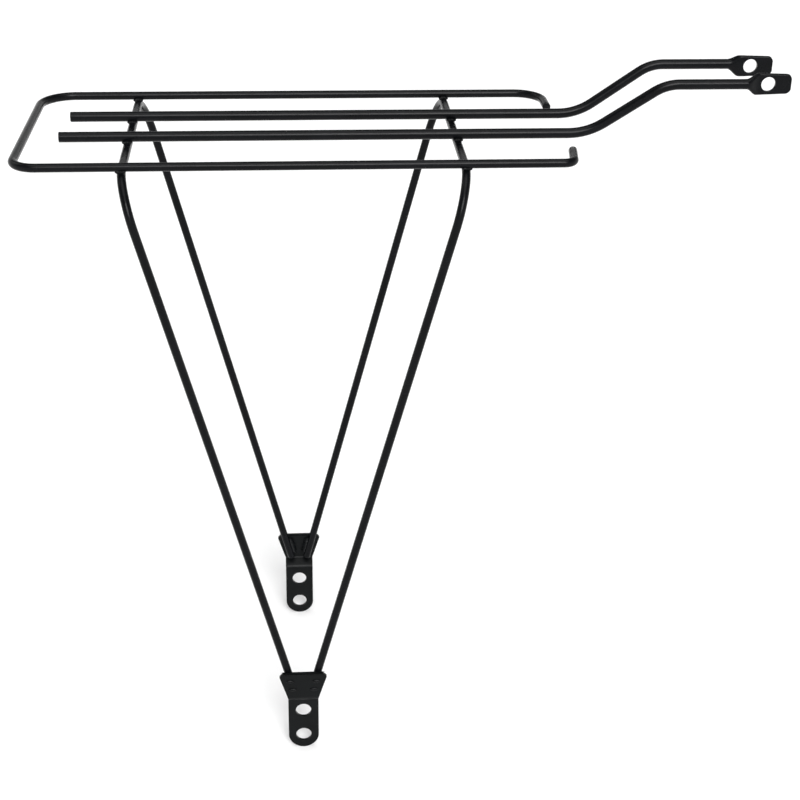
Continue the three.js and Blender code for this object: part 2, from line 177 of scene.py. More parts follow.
class RackStays(bpy.types.PropertyGroup):
    """The centre rails' forward stays and their flattened, pierced ends."""

    corner: length("Lower corner", "Where a rail leaves the platform", 0.172)
    run: length("Run", "From the lower to the upper corner, forward", 0.0438)
    rise: length("Rise", "From the lower to the upper corner, up", 0.0293)
    level: length("Level", "From the upper corner to the hole", 0.0608)
    spacing: length("Stays apart", "Between the axes of the level stretches", 0.0448)
    lower_bend: length("Lower bend", "Bend radius of the lower corner", 0.037)
    upper_bend: length("Upper bend", "Bend radius of the upper corner", 0.026)
    hole: length("Hole", "Diameter of the bolt hole", 0.0085)
    tabs: length("Tabs apart", "Between the middle planes of the flattened ends", 0.040)
    tab_height: length("Tab height", "Height of a flattened end at its hole", 0.013)
    tab_end: length("Tab end", "Height of a flattened end at its tip", 0.0118)
    tab_thickness: length("Tab thickness", "Thickness of a flattened end", 0.0024)
    tab_corner: length("Tab corner", "Corner radius of the tip", 0.002)
    tab_crown: length("Tab crown", "How far the tip bulges in its middle", 0.0011)
    tab_drop: length("Tab drop", "Middle of the tab below the stay's axis", 0.0006)
    flare: length("Flare start", "Where the flattening starts, before the hole", 0.0135)
    flare_rise: length("Flare rise", "Length over which it grows to the tab's height", 0.0068)
    flare_length: length("Flare length", "Length over which the rod flattens", 0.0085)


class RackPlates(bpy.types.PropertyGroup):
    """The joggled dropout plates with their two eyelets."""

    eyelet: length("Eyelet", "Diameter of an eyelet", 0.010)
    eyelet_spacing: length("Eyelets apart", "Between the two eyelets", 0.0194)
    tongue: length("Tongue width", "Width of the tongue", 0.0195)
    thickness: length("Thickness", "Thickness of the sheet", 0.0025)
    head_margin: length("Head margin", "Straight upper edge past the legs", 0.0003)
    ear: length("Ear", "Ears past the straight upper edge", 0.0024)
    ear_drop: length("Ear drop", "Ears below the upper edge", 0.0025)
    ear_fillet: length("Ear fillet", "Corner radius of the ears", 0.0008)
    neck: length("Neck", "Where the head meets the tongue", 0.0142)
    neck_fillet: length("Neck fillet", "Corner radius of the neck", 0.004)
    joggle: length("Joggle", "How far the tongue stands inward", 0.0065)
    joggle_bend: length("Joggle bend", "Bend radius on the middle plane", 0.003)
    joggle_angle: turn("Joggle angle", "Slope of the joggle from upright", 55.0)
    joggle_top: length("Joggle top", "Upper end of the joggle", 0.0158)
    edge: length("Edge rounding", "Rounding of the stamped edges", 0.00035)


class RackWelds(bpy.types.PropertyGroup):
    """Weld beads."""

    gap: length("Weld gap", "Between rods that are welded together", 0.0001)
    ripple: FloatProperty(
        name="Ripple", description="Height of a bead's ripples, as a share of its radius", default=0.07
    )
    pitch: length("Ripple pitch", "Length of one ripple along a bead", 0.0012)
    web: FloatProperty(
        name="Web", description="How much further a crossing bead reaches in its corners", default=0.20
    )
    web_reach: FloatProperty(
        name="Web size", description="Size of a crossing bead against its node", default=0.86
    )
    foot_radius: length("Foot bead", "Radius of the bead beside a foot", 0.0024)


class RackFinish(bpy.types.PropertyGroup):
    """Colours and gloss of the enamel."""

    rod_colour: FloatVectorProperty(
        name="Rod enamel", description="Black of the rods", subtype="COLOR",
        size=4, default=(0.0018, 0.0020, 0.0024, 1.0),
    )
    plate_colour: FloatVectorProperty(
        name="Plate enamel", description="Black of the plates", subtype="COLOR",
        size=4, default=(0.0020, 0.0024, 0.0025, 1.0),
    )
    weld_colour: FloatVectorProperty(
        name="Weld enamel", description="Black over the weld beads", subtype="COLOR",
        size=4, default=(0.0022, 0.0025, 0.0027, 1.0),
    )
    refraction: FloatProperty(
        name="Index of refraction", description="Sets how much the enamel reflects", default=1.20
    )


class RackStudio(bpy.types.PropertyGroup):
    """Camera and studio lights."""

    aim: FloatVectorProperty(
        name="Aim", description="Point that the camera looks at", subtype="XYZ",
        unit="LENGTH", default=(0.0658, 0.0, 0.1838),
    )
    distance: length("Distance", "From the camera to the point it looks at", 1.0397)
    azimuth: turn("Azimuth", "Turn of the camera to the left of straight ahead", -4.561)
    elevation: turn("Elevation", "Height of the camera above the horizon", 26.638)
    roll: turn("Roll", "Tilt of the camera about its line of sight", 0.913)
    lens: FloatProperty(name="Lens", description="Focal length", default=72.68, unit="CAMERA")


GROUPS = {
    "rack_rods": RackRods,
    "rack_platform": RackPlatform,
    "rack_hoops": RackHoops,
    "rack_stays": RackStays,
    "rack_plates": RackPlates,
    "rack_welds": RackWelds,
    "rack_finish": RackFinish,
    "rack_studio": RackStudio,
}


# ---------------------------------------------------------------- paths and skins


def unit(vectors):
    """Vectors shortened or stretched to length one."""
    return vectors / np.linalg.norm(vectors, axis=-1, keepdims=True)


def evenly(start, finish, station):
    """Shares from 0 to 1 that divide a straight into equal stretches, without the 0."""
    stretches = int(np.ceil(np.linalg.norm(finish - start) / station))
    return np.linspace(0, 1, max(2, stretches + 1))[1:]


def bent_path(points, radii, station, step):
    """A line from corner to corner with each inner corner rounded.

    A corner of turn w and radius r starts r tan(w/2) before the corner; at angle v its points
    lie r sin(v) along the first leg and r (1 - cos(v)) inward. Straights are divided evenly.
    Returns points, directions, and a curvature that rises and falls over each bend.
    """
    points = np.asarray(points, float)
    legs = unit(np.diff(points, axis=0))
    places, directions, curvatures = [points[:1]], [legs[:1]], [np.zeros(1)]
    at = points[0]
    for i, radius in enumerate(radii):
        before, after = legs[i], legs[i + 1]
        bend = np.arccos(np.clip(before @ after, -1, 1))
        inward = unit(after - before * np.cos(bend))
        start = points[i + 1] - before * radius * np.tan(bend / 2)
        straight = evenly(at, start, station)
        places.append(at + np.outer(straight, start - at))
        directions.append(np.tile(before, (len(straight), 1)))
        curvatures.append(np.zeros(len(straight)))
        v = np.linspace(0, bend, max(3, int(np.ceil(bend / step)) + 1))[1:, None]
        places.append(start + radius * (np.sin(v) * before + (1 - np.cos(v)) * inward))
        directions.append(np.cos(v) * before + np.sin(v) * inward)
        curvatures.append(np.sin(np.pi * v[:, 0] / bend) / radius)
        at = places[-1][-1]
    straight = evenly(at, points[-1], station)
    places.append(at + np.outer(straight, points[-1] - at))
    directions.append(np.tile(legs[-1], (len(straight), 1)))
    curvatures.append(np.zeros(len(straight)))
    return np.concatenate(places), np.concatenate(directions), np.concatenate(curvatures)


def mesh_object(name, points, faces, uvs=None):
    """A mesh object at the origin from arrays, turned outward if its volume is negative."""
    fan = [
        np.column_stack([f[:, 0], f[:, k], f[:, k + 1]])
        for f in faces
        for k in range(1, f.shape[1] - 1)
    ]
    tris = np.concatenate(fan)
    a, b, c = points[tris[:, 0]], points[tris[:, 1]], points[tris[:, 2]]
    if np.einsum("ij,ij->", a, np.cross(b, c)) < 0:
        faces = [f[:, ::-1] for f in faces]
        uvs = None if uvs is None else [u[:, ::-1] for u in uvs]
    mesh = bpy.data.meshes.new(name)
    mesh.from_pydata(points.tolist(), [], [row for f in faces for row in f.tolist()])
    if uvs is not None:
        layer = mesh.uv_layers.new(name="along_rod")
        layer.data.foreach_set("uv", np.concatenate([u.reshape(-1) for u in uvs]))
    mesh.shade_smooth()
    made = bpy.data.objects.new(name, mesh)
    bpy.context.scene.collection.objects.link(made)
    return made


def skin(name, rings):
    """A closed skin over rings of points, shaped (stations, around, 3), with a fan at each end.

    Its UV map holds the turn round the ring, from 0 to 1, and the distance along the rings.
    """
    count, around = rings.shape[:2]
    middles = rings.mean(axis=1)
    points = np.concatenate([rings.reshape(-1, 3), middles[:1], middles[-1:]])
    i, j = np.meshgrid(np.arange(count - 1), np.arange(around), indexing="ij")
    k = (j + 1) % around
    quads = np.stack([i * around + j, i * around + k, (i + 1) * around + k, (i + 1) * around + j], -1)
    along = np.concatenate([[0], np.cumsum(np.linalg.norm(np.diff(middles, axis=0), axis=1))])
    u0, u1 = j / around, (j + 1) / around
    quad_uvs = np.stack(
        [
            np.stack([u0, along[i]], -1),
            np.stack([u1, along[i]], -1),
            np.stack([u1, along[i + 1]], -1),
            np.stack([u0, along[i + 1]], -1),
        ],
        -2,
    )
    ring = np.arange(around)
    after = (ring + 1) % around
    first = np.stack([np.full(around, count * around), after, ring], -1)
    last_ring = (count - 1) * around
    last = np.stack([np.full(around, count * around + 1), last_ring + ring, last_ring + after], -1)
    turns = np.stack([(ring + 0.5) / around, (ring + 1) / around, ring / around], -1)
    first_uvs = np.stack([turns, np.full((around, 3), along[0])], -1)
    last_uvs = np.stack([turns[:, [0, 2, 1]], np.full((around, 3), along[-1])], -1)
    return mesh_object(
        name,
        points,
        [quads.reshape(-1, 4), first, last],
        [quad_uvs.reshape(-1, 4, 2), first_uvs, last_uvs],
    )


def sections(centres, across, upward, half_across, half_upward, flat, around):
    """Rings of points round a path.

    Each section is an ellipse of the two half sizes; a flat share pulls its two round ends
    apart along the upward direction, so that at 1 it is a slot shape with straight sides.
    """
    t = (np.arange(around) + 0.5) * 2 * np.pi / around
    core = (flat * np.maximum(half_upward - half_across, 0))[:, None]
    x = half_across[:, None] * np.cos(t)
    z = core * np.sign(np.sin(t)) + (half_upward[:, None] - core) * np.sin(t)
    return centres[:, None] + across[:, None] * x[..., None] + upward[:, None] * z[..., None]


def round_ends(centres, directions, half_sizes, rounding):
    """Extra stations that round both cut ends of a path off by a quarter circle.

    At angle v a section stands rounding (1 - sin v) inside the cut and is rounding
    (1 - cos v) smaller. A last, smaller ring in the cut's plane keeps the cut flat.
    """
    v = np.radians([90.0, 90.0, 67.5, 45.0, 22.5])
    inset = rounding * (1 - np.cos(v))
    depth = (rounding * (1 - np.sin(v)))[:, None]
    start = centres[0] + depth * directions[0]
    finish = (centres[-1] - depth * directions[-1])[::-1]
    keep = slice(1, -1)
    inner_start = centres[0] + rounding * directions[0]
    inner_finish = centres[-1] - rounding * directions[-1]
    path = np.concatenate([start, [inner_start], centres[keep], [inner_finish], finish])
    ways = np.concatenate(
        [np.tile(directions[0], (6, 1)), directions[keep], np.tile(directions[-1], (6, 1))]
    )
    sizes = []
    for half in half_sizes:
        first = half[0] - inset
        last = (half[-1] - inset)[::-1]
        first[0] *= END_SHARE
        last[-1] *= END_SHARE
        sizes.append(np.concatenate([first, half[:1], half[keep], half[-1:], last]))
    return path, ways, sizes


def rod_skin(name, path, radius, upright):
    """A bent rod: a circle carried along its path, a little flattened in the plane of a bend.

    A station's flattened half size is radius (1 - share x radius x curvature).
    """
    rods = bpy.context.scene.rack_rods
    centres, directions, curvature = path
    plain = np.full(len(centres), radius)
    oval = radius * (1 - rods.flatten * radius * curvature)
    centres, directions, (across, upward) = round_ends(
        centres, directions, [oval, plain], rods.end_round
    )
    up = unit(upright - directions * (directions @ upright)[:, None])
    side = np.cross(directions, up)
    rings = sections(centres, side, up, across, upward, np.zeros(len(centres)), rods.around)
    return skin(name, rings)


def finished_mesh(made):
    """Applies an object's modifiers to its mesh."""
    graph = bpy.context.evaluated_depsgraph_get()
    mesh = bpy.data.meshes.new_from_object(made.evaluated_get(graph))
    made.modifiers.clear()
    old = made.data
    made.data = mesh
    mesh.name = made.name
    bpy.data.meshes.remove(old)


def drill(made, centre, radius, half_depth, rounding, along=Y, around=72):
    """Cuts a round hole with rounded rims through a sheet.

    The cutter's radius is the hole's, and grows by rounding (1 - cos v) where the depth is
    past half_depth - rounding + rounding sin v, and then straight on past the face.
    """
    v = np.radians(np.linspace(0, 80, 7))
    depth = half_depth - rounding + rounding * np.sin(v)
    wide = radius + rounding * (1 - np.cos(v))
    depth = np.append(depth, depth[-1] + rounding)
    wide = np.append(wide, wide[-1] + rounding * np.tan(v[-1]))
    offsets = np.concatenate([-depth[::-1], depth])
    radii = np.concatenate([wide[::-1], wide])
    centres = centre + np.outer(offsets, along)
    side = np.tile(X, (len(offsets), 1))
    up = np.tile(np.cross(along, X), (len(offsets), 1))
    rings = sections(centres, side, up, radii, radii, np.zeros(len(offsets)), around)
    cutter = skin("cutter", rings)
    cut = made.modifiers.new("hole", "BOOLEAN")
    cut.operation = "DIFFERENCE"
    cut.solver = "EXACT"
    cut.object = cutter
    bpy.context.view_layer.update()
    finished_mesh(made)
    bpy.data.objects.remove(cutter)


def weigh_normals(made):
    """Shades a cut sheet by its large faces, so that they stay flat up to their edges."""
    weigh = made.modifiers.new("flat_faces", "WEIGHTED_NORMAL")
    weigh.mode = "FACE_AREA"
    weigh.weight = 80


def settle(made, node, slot):
    """Gives a finished piece its enamel and puts it in the place of its node."""
    finish = material(slot)
    if "Noise Texture" not in finish.node_tree.nodes:
        raise RuntimeError(f"{made.name} would wear the frame's plain material")
    made.data.materials.clear()
    made.data.materials.append(finish)
    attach(made, BODY)
    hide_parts(node)


def piece_name(node):
    """Name of the finished piece that stands for a node."""
    return node + "_enamelled"


# ---------------------------------------------------------------- enamel


class Nodes:
    """Short hand for a material's nodes."""

    def __init__(self, name):
        self.material = bpy.data.materials.new(name)
        self.material.use_nodes = True
        self.tree = self.material.node_tree
        self.surface = self.tree.nodes["Principled BSDF"]

    def add(self, kind, **inputs):
        """A new node with some inputs set or linked. Spaces in their names are underscores."""
        node = self.tree.nodes.new(kind)
        for name, value in inputs.items():
            self.feed(node, name.replace("_", " "), value)
        return node

    def feed(self, node, socket, value):
        """Sets a socket to a value, or links it if the value is a socket."""
        target = node.inputs[socket]
        if isinstance(value, bpy.types.NodeSocket):
            self.tree.links.new(value, target)
        else:
            target.default_value = value

    def ramp(self, factor, low, high, first, last):
        """A value that goes from first to last as the factor goes from low to high."""
        node = self.add("ShaderNodeMapRange", Value=factor)
        node.inputs["From Min"].default_value = low
        node.inputs["From Max"].default_value = high
        node.inputs["To Min"].default_value = first
        node.inputs["To Max"].default_value = last
        return node.outputs["Result"]

    def noise(self, vector, scale, detail=3.0, roughness=0.5):
        """A noise pattern's factor."""
        node = self.add("ShaderNodeTexNoise", Vector=vector, Scale=scale, Detail=detail)
        node.inputs["Roughness"].default_value = roughness
        return node.outputs["Fac"]

    def mix(self, factor, first, last):
        """A colour between two others."""
        node = self.tree.nodes.new("ShaderNodeMix")
        node.data_type = "RGBA"
        for index, value in ((0, factor), (6, first), (7, last)):
            if isinstance(value, bpy.types.NodeSocket):
                self.tree.links.new(value, node.inputs[index])
            else:
                node.inputs[index].default_value = value
        return node.outputs[2]

    def bump(self, height, strength, distance, normal=None):
        """A normal that follows a height."""
        node = self.add("ShaderNodeBump", Height=height, Strength=strength, Distance=distance)
        if normal is not None:
            self.tree.links.new(normal, node.inputs["Normal"])
        return node.outputs["Normal"]


def tinted(colour, gain, blue):
    """A colour made lighter and a little bluer."""
    red, green, azure, alpha = colour
    return (red * gain, green * gain, azure * gain * blue, alpha)


def enamel(name, colour, gloss, peel, grain):
    """Gloss black enamel over steel.

    Clouded colour a few centimetres wide, orange peel about a millimetre wide, fine dust
    nibs, and the grain of the steel below as far as it shows through.
    """
    finish = bpy.context.scene.rack_finish
    n = Nodes(name)
    place = n.add("ShaderNodeTexCoord").outputs["Object"]
    cloud = n.noise(place, 45.0, 4.0)
    nibs = n.noise(place, 2600.0, 2.0)
    dust = n.ramp(nibs, 0.70, 0.78, 0.0, 1.0)
    base = n.mix(n.ramp(cloud, 0.35, 0.65, 0.0, 1.0), colour, tinted(colour, 1.9, 1.05))
    base = n.mix(n.ramp(dust, 0.0, 1.0, 0.0, 0.35), base, tinted(colour, 6.0, 1.0))
    n.feed(n.surface, "Base Color", base)
    smear = n.noise(place, 190.0, 5.0, 0.6)
    rough = n.ramp(smear, 0.3, 0.7, gloss - 0.05, gloss + 0.06)
    n.feed(n.surface, "Roughness", rough)
    peel_height = n.noise(place, 620.0, 2.0)
    normal = n.bump(peel_height, peel, 0.00006)
    normal = n.bump(dust, 0.25, 0.00003, normal)
    if grain is not None:
        normal = grain(n, place, normal)
    n.feed(n.surface, "Normal", normal)
    n.surface.inputs["IOR"].default_value = finish.refraction
    n.surface.inputs["Coat Weight"].default_value = 0.0
    return n.material


def drawn_grain(n, place, normal):
    """Die lines of drawn rod: noise stretched along the rod in its own UV map."""
    uv = n.add("ShaderNodeUVMap")
    uv.uv_map = "along_rod"
    stretch = n.add("ShaderNodeMapping", Vector=uv.outputs["UV"], Scale=(34.0, 30.0, 1.0))
    lines = n.noise(stretch.outputs["Vector"], 1.0, 3.0, 0.6)
    return n.bump(lines, 0.10, 0.00005, normal)


def rolled_grain(n, place, normal):
    """Pits of rolled sheet under the paint, a few tenths of a millimetre wide."""
    pits = n.add("ShaderNodeTexVoronoi", Vector=place, Scale=1500.0)
    return n.bump(pits.outputs["Distance"], 0.10, 0.00004, normal)


def spatter_grain(n, place, normal):
    """Scale and spatter that the enamel can't level on a weld bead."""
    lumps = n.noise(place, 1300.0, 4.0, 0.7)
    return n.bump(lumps, 0.35, 0.00012, normal)


GRAINS = {
    "rod_enamel": ("rod_colour", 0.25, 0.16, drawn_grain),
    "plate_enamel": ("plate_colour", 0.36, 0.22, rolled_grain),
    "weld_enamel": ("weld_colour", 0.27, 0.25, spatter_grain),
}


def material(slot):
    """The finished enamel of a slot, made when it is first asked for.

    Its name differs from the slot's, because the frame brings plain materials of those names.
    """
    name = "gloss_" + slot
    found = bpy.data.materials.get(name)
    if found:
        return found
    colour, gloss, peel, grain = GRAINS[slot]
    return enamel(name, tuple(getattr(bpy.context.scene.rack_finish, colour)), gloss, peel, grain)


# ---------------------------------------------------------------- platform rim


def hook_points(side, corner, bend, angle, tail):
    """A hook's two corners: its tip, and where its axis meets the side's."""
    platform = bpy.context.scene.rack_platform
    reach = bend * np.tan(angle / 2) + tail
    y = side * platform.half_width
    tip = (corner + reach * np.cos(angle), y - side * reach * np.sin(angle), platform.height)
    return [tip, (corner, y, platform.height)]


class RACK_OT_rim(bpy.types.Operator):
    """Build the platform's rim with its rear corners and two front hooks"""

    bl_idname = "rack.rim"
    bl_label = "Platform Rim"

    def execute(self, context):
        p = context.scene.rack_platform
        rods = context.scene.rack_rods
        right = hook_points(-1, p.hook_right, p.hook_right_bend, p.hook_right_turn, p.hook_right_tail)
        left = hook_points(1, p.hook_left, p.hook_left_bend, p.hook_left_turn, p.hook_left_tail)
        rear = [(-p.rear_right, -p.half_width, p.height), (-p.rear_left, p.half_width, p.height)]
        bends = [p.hook_right_bend, p.bend_right, p.bend_left, p.hook_left_bend]
        path = bent_path([*right, *rear, *left[::-1]], bends, rods.station, rods.bend_step)
        made = rod_skin(piece_name("platform_rim"), path, rods.rim_radius, Z)
        settle(made, "platform_rim", "rod_enamel")
        return {"FINISHED"}


# ---------------------------------------------------------------- hoops


def leg_x(end, height, top):
    """X of a leg's axis at a height: straight from the crossbar to a plate's upper edge."""
    hoops = bpy.context.scene.rack_hoops
    plate_top = float(PLATE_HIGH[2])
    upper, foot = end * hoops.spacing / 2, end * hoops.foot_spacing / 2
    return upper + (foot - upper) * (top - height) / (top - plate_top)


class RACK_OT_hoops(bpy.types.Operator):
    """Build the two hoops that carry the platform"""

    bl_idname = "rack.hoops"
    bl_label = "Hoops"

    def execute(self, context):
        h = context.scene.rack_hoops
        rods = context.scene.rack_rods
        half_width = context.scene.rack_platform.half_width + h.shoulder
        top = float(HOOP_HIGH[2]) - rods.hoop_radius
        set_height = float(PLATE_HIGH[2]) + h.set_rise
        for name, end in ENDS.items():
            foot = foot_end(end, top)
            heights = [(h.foot_width / 2, foot), (h.foot_width / 2, set_height), (half_width, top)]
            right = [(leg_x(end, z, top), -y, z) for y, z in heights]
            left = [(leg_x(end, z, top), y, z) for y, z in heights[::-1]]
            bends = [h.set_bend, h.bend, h.bend, h.set_bend]
            path = bent_path([*right, *left], bends, rods.station, rods.bend_step)
            leg = np.array(right[2]) - np.array(right[0])
            plane = unit(np.cross(leg, Y))
            node = f"{name}_hoop"
            made = rod_skin(piece_name(node), path, rods.hoop_radius, plane)
            settle(made, node, "rod_enamel")
        return {"FINISHED"}


def foot_end(end, top):
    """Height of a foot's axis at its cut end, where the cut's lowest point is the hoop's."""
    rods = bpy.context.scene.rack_rods
    slope = (leg_x(end, top, top) - leg_x(end, 0.0, top)) / top
    lean = np.arctan(abs(slope))
    return float(HOOP_LOW[2]) + rods.hoop_radius * np.sin(lean)


# ---------------------------------------------------------------- centre rails and stays


def flattened(x, start, length_, before, after):
    """A size that goes smoothly from before to after over a length from a start."""
    t = np.clip((x - start) / length_, 0, 1)
    return before + (after - before) * t * t * (3 - 2 * t)


class RACK_OT_rails(bpy.types.Operator):
    """Build the centre rails, which run on as stays with flattened, pierced ends"""

    bl_idname = "rack.rails"
    bl_label = "Centre Rails"

    def execute(self, context):
        s = context.scene.rack_stays
        rods = context.scene.rack_rods
        radius = rods.rail_radius
        for name, side in SIDES.items():
            node = f"centre_rail_{name}"
            low, _ = corners(node)
            height = float(low[2]) + radius
            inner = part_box(node)[1 if side < 0 else 0][1]
            rail_y = float(inner) - side * -radius
            stay_y = side * s.spacing / 2
            hole_x = s.corner + s.run + s.level
            flare_x = hole_x - s.flare
            stay_z = height + s.rise
            path = bent_path(
                [
                    (low[0], rail_y, height),
                    (s.corner, rail_y, height),
                    (s.corner + s.run, stay_y, stay_z),
                    (flare_x, stay_y, stay_z),
                ],
                [s.lower_bend, s.upper_bend],
                rods.station,
                rods.bend_step,
            )
            made = stay_skin(piece_name(node), path, side, flare_x, stay_z)
            hole = np.array([hole_x, side * s.tabs / 2, stay_z - s.tab_drop])
            drill(made, hole, s.hole / 2, s.tab_thickness / 2, TAB_ROUND)
            weigh_normals(made)
            settle(made, node, "rod_enamel")
        return {"FINISHED"}


def stay_skin(name, path, side, flare_x, stay_z):
    """A rail and its flattened end as one skin.

    Past the flare's start the section's half height and half thickness go smoothly from the
    rod's radius to the tab's. The tip's corners are quarter circles, and its end bulges by
    crown (1 - (z / half height)^2).
    """
    s = bpy.context.scene.rack_stays
    rods = bpy.context.scene.rack_rods
    radius = rods.rail_radius
    centres, directions, curvature = path
    tip = float(RAIL_HIGH[0]) - s.tab_crown
    swing = np.radians(np.linspace(0, 90, 13))
    rounded = tip - s.tab_corner + s.tab_corner * np.sin(swing)
    level = np.arange(flare_x + TAB_STATION, rounded[0] - 0.4 * TAB_STATION, TAB_STATION)
    x = np.concatenate([level, rounded])
    t_x = np.column_stack([x, np.zeros_like(x), np.zeros_like(x)])
    t_x[:, 1] = flattened(x, flare_x, s.flare_length, side * s.spacing / 2, side * s.tabs / 2)
    t_x[:, 2] = flattened(x, flare_x, s.flare_rise, stay_z, stay_z - s.tab_drop)
    thick = flattened(x, flare_x, s.flare_length, radius, s.tab_thickness / 2)
    half_height = min(s.tab_height / 2, float(RAIL_HIGH[2]) - stay_z + s.tab_drop)
    tall = flattened(x, flare_x, s.flare_rise, radius, half_height)
    taper = np.clip((x - flare_x - s.flare_length) / (tip - flare_x - s.flare_length), 0, 1)
    tall -= taper * (half_height - s.tab_end / 2)
    past = np.clip(x - rounded[0], 0, s.tab_corner)
    tall -= s.tab_corner - np.sqrt(s.tab_corner**2 - past**2)
    oval = radius * (1 - rods.flatten * radius * curvature)
    all_centres = np.concatenate([centres, t_x])
    all_ways = np.concatenate([directions, np.tile(X, (len(x), 1))])
    across = np.concatenate([np.full(len(centres), radius), thick])
    upward = np.concatenate([oval, tall])
    all_centres, all_ways, (across, upward) = round_ends(
        all_centres, all_ways, [across, upward], TAB_ROUND
    )
    up = unit(Z - all_ways * (all_ways @ Z)[:, None])
    sideways = np.cross(all_ways, up)
    flat = flattened(all_centres[:, 0], flare_x, s.flare_length, 0.0, 1.0)
    rings = sections(all_centres, sideways, up, across, upward, flat, 48)
    share = flattened(rings[..., 0], tip - CROWN_LENGTH, CROWN_LENGTH, 0.0, 1.0)
    z = (rings[..., 2] - stay_z + s.tab_drop) / (s.tab_end / 2)
    rings[..., 0] += s.tab_crown * share * np.clip(1 - z * z, 0, 1)
    return skin(name, rings)


# ---------------------------------------------------------------- dropout plates


def plate_outline():
    """Right half of a plate's outline from its upper edge down to its round end."""
    p = bpy.context.scene.rack_plates
    hoops = bpy.context.scene.rack_hoops
    rods = bpy.context.scene.rack_rods
    top = float(PLATE_HIGH[2])
    half_top = hoops.foot_spacing / 2 + rods.hoop_radius + p.head_margin
    tongue = p.tongue / 2
    points = [
        (0.0, 0.0, top),
        (half_top, 0.0, top),
        (half_top + p.ear, 0.0, top - p.ear_drop),
        (tongue, 0.0, p.neck),
        (tongue, 0.0, -p.eyelet_spacing),
    ]
    side, _, _ = bent_path(points, [p.ear_fillet, p.ear_fillet, p.neck_fillet], 0.002, np.radians(6))
    side = side[1:]
    side = side[np.append(np.diff(side[:, 2]) < -1e-6, True) | (side[:, 2] < top - 1e-6)]
    swing = np.radians(np.linspace(0, 88, 31))[1:]
    end = np.column_stack(
        [tongue * np.cos(swing), 0 * swing, -p.eyelet_spacing - tongue * np.sin(swing)]
    )
    return np.concatenate([side, end])


def plate_middle():
    """Middle line of the sheet in Y and Z, with Y growing outward: head, joggle, tongue."""
    p = bpy.context.scene.rack_plates
    top, bottom = float(PLATE_HIGH[2]), float(PLATE_LOW[2])
    head = -float(PLATE_LOW[1]) - p.thickness / 2
    upper = p.joggle_top - p.joggle_bend * np.tan(p.joggle_angle / 2)
    lower = upper - p.joggle / np.tan(p.joggle_angle)
    points = [(0, head, top), (0, head, upper), (0, head - p.joggle, lower), (0, head - p.joggle, bottom)]
    return bent_path(points, [p.joggle_bend, p.joggle_bend], 0.003, np.radians(7))


class RACK_OT_dropout_plates(bpy.types.Operator):
    """Build the two joggled plates that bolt to the bicycle's dropouts"""

    bl_idname = "rack.dropout_plates"
    bl_label = "Dropout Plates"

    def execute(self, context):
        p = context.scene.rack_plates
        outline = plate_outline()
        middle, ways, _ = plate_middle()
        z = np.unique(np.concatenate([outline[:, 2], middle[:, 2]]).round(7))[::-1]
        z = z[(z <= outline[0, 2]) & (z >= outline[-1, 2])]
        half = np.interp(z, outline[::-1, 2], outline[::-1, 0])
        out = np.interp(z, middle[::-1, 2], middle[::-1, 1])
        way = unit(np.stack([np.interp(z, middle[::-1, 2], ways[::-1, k]) for k in (1, 2)], -1))
        for name, side in SIDES.items():
            node = f"dropout_plate_{name}"
            centre = np.column_stack([0 * z, side * out, z])
            normal = np.column_stack([0 * z, -side * way[:, 1], way[:, 0]])
            thick = normal * p.thickness / 2
            wide = np.outer(half, X)
            rings = np.stack(
                [centre + wide + thick, centre - wide + thick, centre - wide - thick, centre + wide - thick],
                axis=1,
            )
            made = sheet_skin(piece_name(node), rings)
            edge = made.modifiers.new("edge", "BEVEL")
            edge.width = p.edge
            edge.segments = 3
            edge.limit_method = "ANGLE"
            edge.angle_limit = np.radians(50)
            edge.use_clamp_overlap = False
            finished_mesh(made)
            tongue_y = side * float(middle[-1, 1])
            for drop in (0.0, p.eyelet_spacing):
                centre_point = np.array([0.0, tongue_y, -drop])
                drill(made, centre_point, p.eyelet / 2, p.thickness / 2, p.edge)
            weigh_normals(made)
            settle(made, node, "plate_enamel")
        return {"FINISHED"}


def sheet_skin(name, rings):
    """A closed box-section skin over rings of four points, with one flat face at each end."""
    count = len(rings)
    i, j = np.meshgrid(np.arange(count - 1), np.arange(4), indexing="ij")
    k = (j + 1) % 4
    quads = np.stack([i * 4 + j, i * 4 + k, (i + 1) * 4 + k, (i + 1) * 4 + j], -1).reshape(-1, 4)
    first = np.array([[3, 2, 1, 0]])
    last = np.arange(4)[None] + 4 * (count - 1)
    return mesh_object(name, rings.reshape(-1, 3), [quads, first, last])


# ---------------------------------------------------------------- welds


def bead_rings(centre, axes, halves, ripples, depth, lobes=0.0, around=64, stations=26):
    """Rings of a lumpy egg-shaped bead about its third axis.

    The radius is that of an ellipsoid, times 1 + depth cos(ripples u) sin(v)^2 for ripples
    round it and 1 + lobes cos(4 u) for corners that reach between two crossed rods.
    """
    u = np.arange(around) * 2 * np.pi / around
    v = np.linspace(0.04, np.pi - 0.04, stations)[:, None]
    swell = 1 + depth * np.cos(ripples * u) * np.sin(v) ** 2 - lobes * np.cos(4 * u) * np.sin(v) ** 2
    swell = swell * (1 + 0.5 * depth * np.cos(3 * u + 2.0) * np.sin(2 * v))
    local = np.stack(
        [
            halves[0] * np.sin(v) * np.cos(u) * swell,
            halves[1] * np.sin(v) * np.sin(u) * swell,
            halves[2] * np.cos(v) * (1 + 0 * u),
        ],
        -1,
    )
    return centre + local @ np.asarray(axes)


